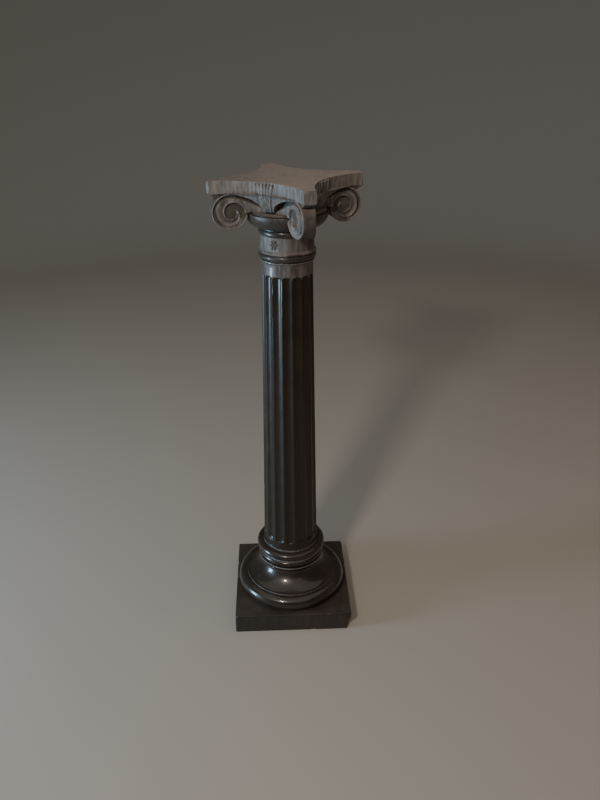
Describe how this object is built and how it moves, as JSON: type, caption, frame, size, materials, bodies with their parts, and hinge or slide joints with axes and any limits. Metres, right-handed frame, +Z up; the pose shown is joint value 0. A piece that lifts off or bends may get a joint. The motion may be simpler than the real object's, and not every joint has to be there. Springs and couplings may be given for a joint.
{
  "type": "pedestal column",
  "caption": "Stone pedestal column: square plinth, turned base, fluted tapering shaft and a capital with corner scrolls, to stand something on.",
  "frame": {"origin": "on the column's axis, at the level of the plinth's underside", "axes": "+Z up along the column's axis; the plinth's sides lie along X and Y, its front faces -Y"},
  "size_m": [0.3228, 0.3228, 1.1],
  "materials": {
    "plinth_stone": "honed near-black stone, dull and scuffed on top, worn pale along the upper edges",
    "base_stone": "polished near-black brown stone with pale worn arrises",
    "shaft_stone": "half-polished near-black brown stone in the flutes, matt grey on the plain band at the top",
    "capital_stone": "matt dark grey stone with upright tool marks, dusty brown-grey on top"
  },
  "bodies": {
    "root": {"plinth": "plinth_stone", "base": "base_stone", "shaft": "shaft_stone", "capital": "capital_stone"}
  },
  "joints": []
}
